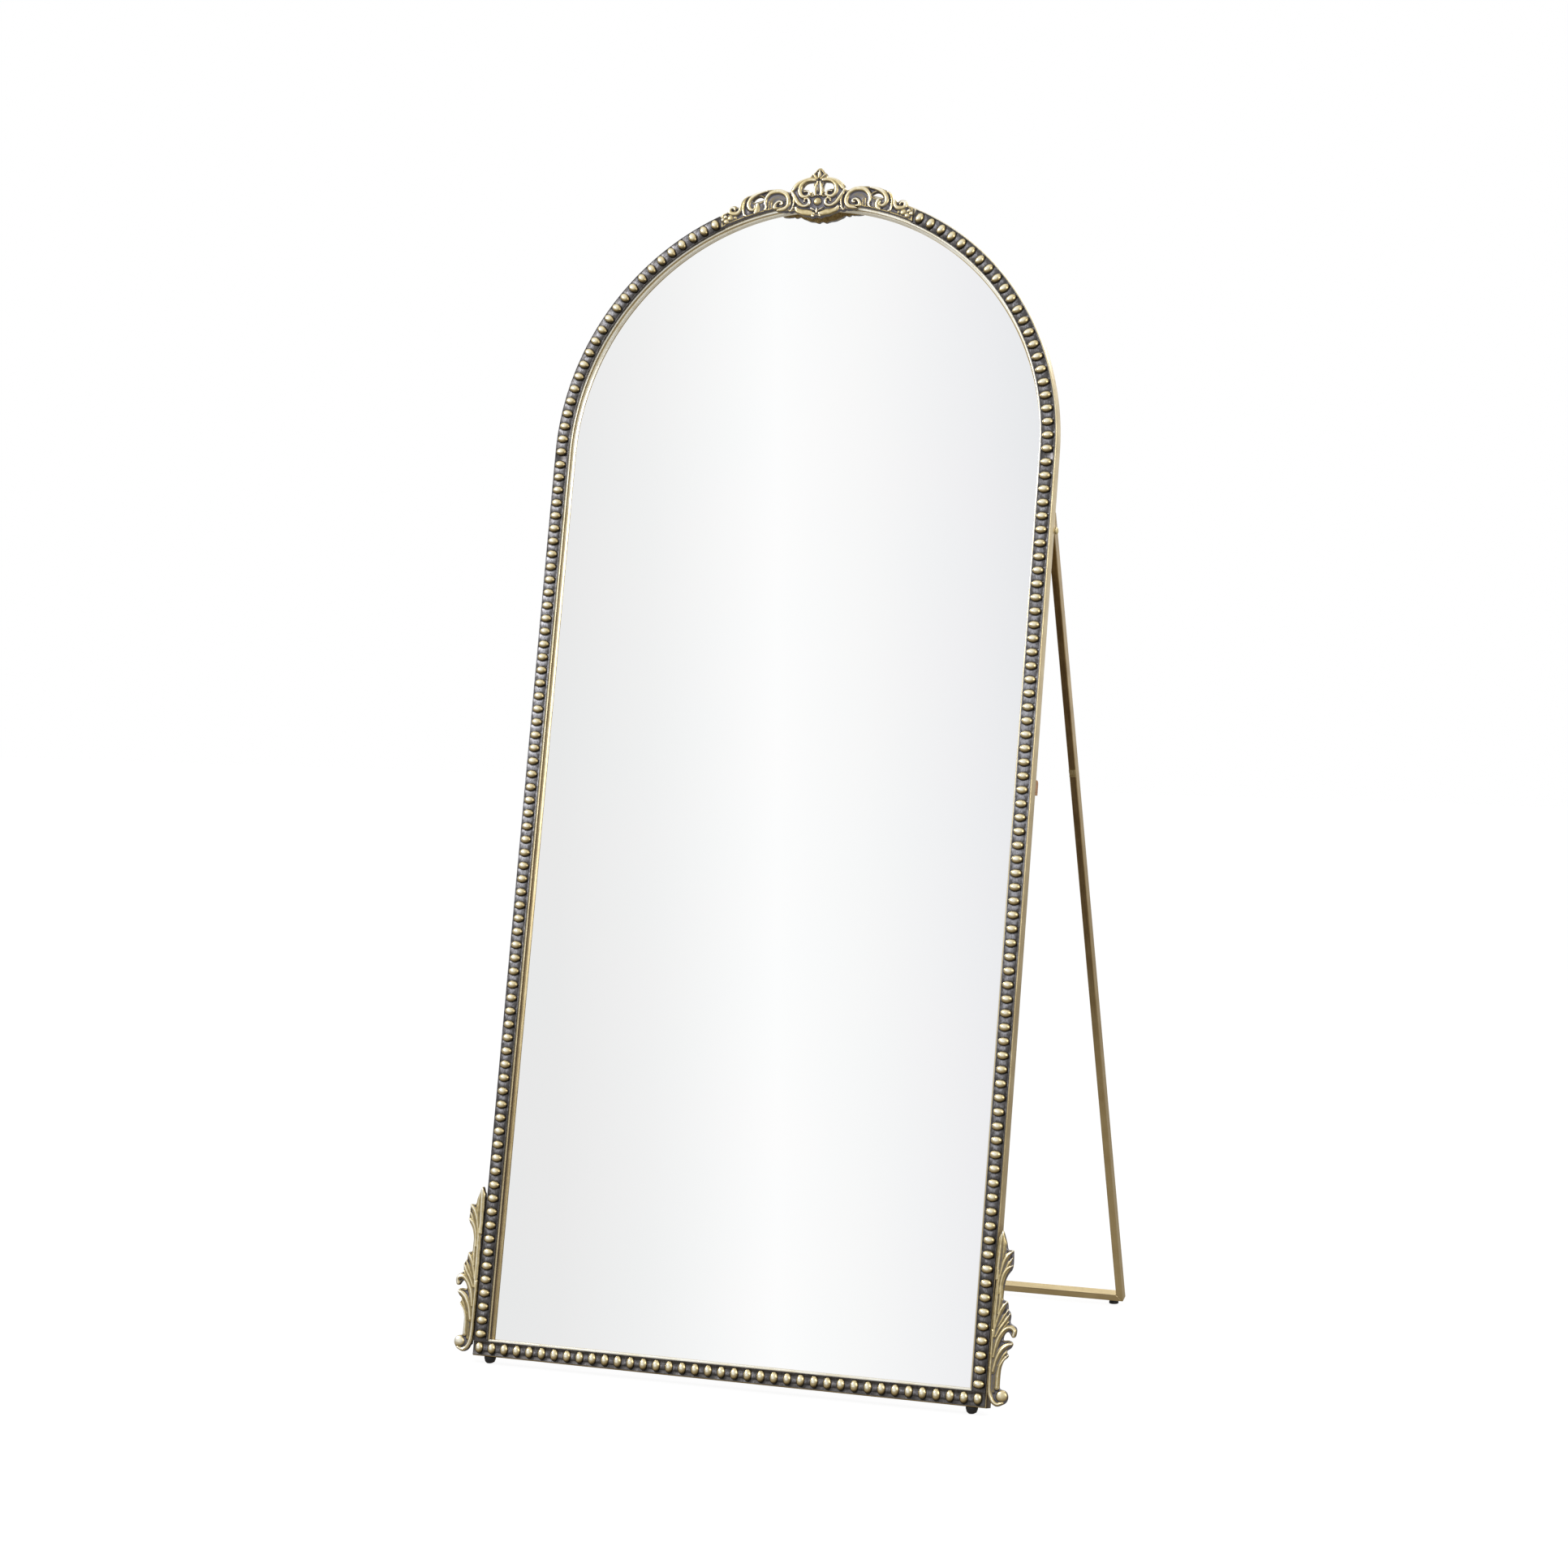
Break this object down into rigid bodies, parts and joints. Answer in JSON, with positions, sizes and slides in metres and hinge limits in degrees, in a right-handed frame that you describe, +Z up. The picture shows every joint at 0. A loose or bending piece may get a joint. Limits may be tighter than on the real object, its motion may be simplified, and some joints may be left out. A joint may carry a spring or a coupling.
{
  "type": "leaning floor mirror",
  "caption": "Full-length arched floor mirror with a beaded gold frame, scroll crest and acanthus corner leaves, leaning back on a folding U-shaped rear stand.",
  "frame": {"origin": "on the floor, at the middle of the whole part's footprint", "axes": "+Z up, +X across the mirror, the mirror faces -Y and the stand reaches back to +Y"},
  "size_m": [0.8118, 0.6716, 1.6474],
  "materials": {
    "gold_frame": "satin gold",
    "pewter_strip": "satin dark pewter with brass-coloured beads",
    "antique_brass": "antique brass",
    "silvered_glass": "polished",
    "hardboard": "matt",
    "zinc_plate": "zinc plated",
    "latch_plastic": "satin",
    "black_plastic": "satin",
    "stand_gold": "satin gold brown"
  },
  "bodies": {
    "mirror": {"frame_stile_left": "gold_frame", "frame_stile_right": "gold_frame", "frame_arch_rail": "gold_frame", "frame_bottom_rail": "gold_frame", "mirror_glass": "silvered_glass", "backing_board": "hardboard", "bead_strip_bottom": "pewter_strip", "bead_strip_left": "pewter_strip", "bead_strip_arch_left": "pewter_strip", "bead_strip_right": "pewter_strip", "bead_strip_arch_right": "pewter_strip", "crest_centre": "antique_brass", "crest_wing_left": "antique_brass", "crest_wing_right": "antique_brass", "corner_leaf_left": "antique_brass", "corner_leaf_right": "antique_brass", "board_clip_1": "zinc_plate", "board_clip_2": "zinc_plate", "board_clip_3": "zinc_plate", "board_clip_4": "zinc_plate", "board_clip_5": "zinc_plate", "board_clip_6": "zinc_plate", "board_clip_7": "zinc_plate", "board_clip_8": "zinc_plate", "clip_screw_1": "zinc_plate", "clip_screw_2": "zinc_plate", "clip_screw_3": "zinc_plate", "clip_screw_4": "zinc_plate", "clip_screw_5": "zinc_plate", "clip_screw_6": "zinc_plate", "clip_screw_7": "zinc_plate", "clip_screw_8": "zinc_plate", "hinge_bracket_left": "zinc_plate", "bracket_screw_lower_left": "zinc_plate", "bracket_screw_upper_left": "zinc_plate", "hinge_pin_left": "zinc_plate", "hinge_washer_left": "zinc_plate", "hinge_nut_left": "zinc_plate", "latch_block_left": "latch_plastic", "foot_front_left": "black_plastic", "hinge_bracket_right": "zinc_plate", "bracket_screw_lower_right": "zinc_plate", "bracket_screw_upper_right": "zinc_plate", "hinge_pin_right": "zinc_plate", "hinge_washer_right": "zinc_plate", "hinge_nut_right": "zinc_plate", "latch_block_right": "latch_plastic", "foot_front_right": "black_plastic"},
    "stand": {"stand_crossbar": "stand_gold", "stand_leg_left": "stand_gold", "latch_plate_left": "antique_brass", "foot_rear_left": "black_plastic", "stand_leg_right": "stand_gold", "latch_plate_right": "antique_brass", "foot_rear_right": "black_plastic"}
  },
  "joints": [
    {"name": "stand_fold", "type": "hinge", "parent": "mirror", "child": "stand", "pos_m": [0, -0.047, 1.14274], "axis": [-1, 0, 0], "range_deg": [0, 28.3]}
  ]
}
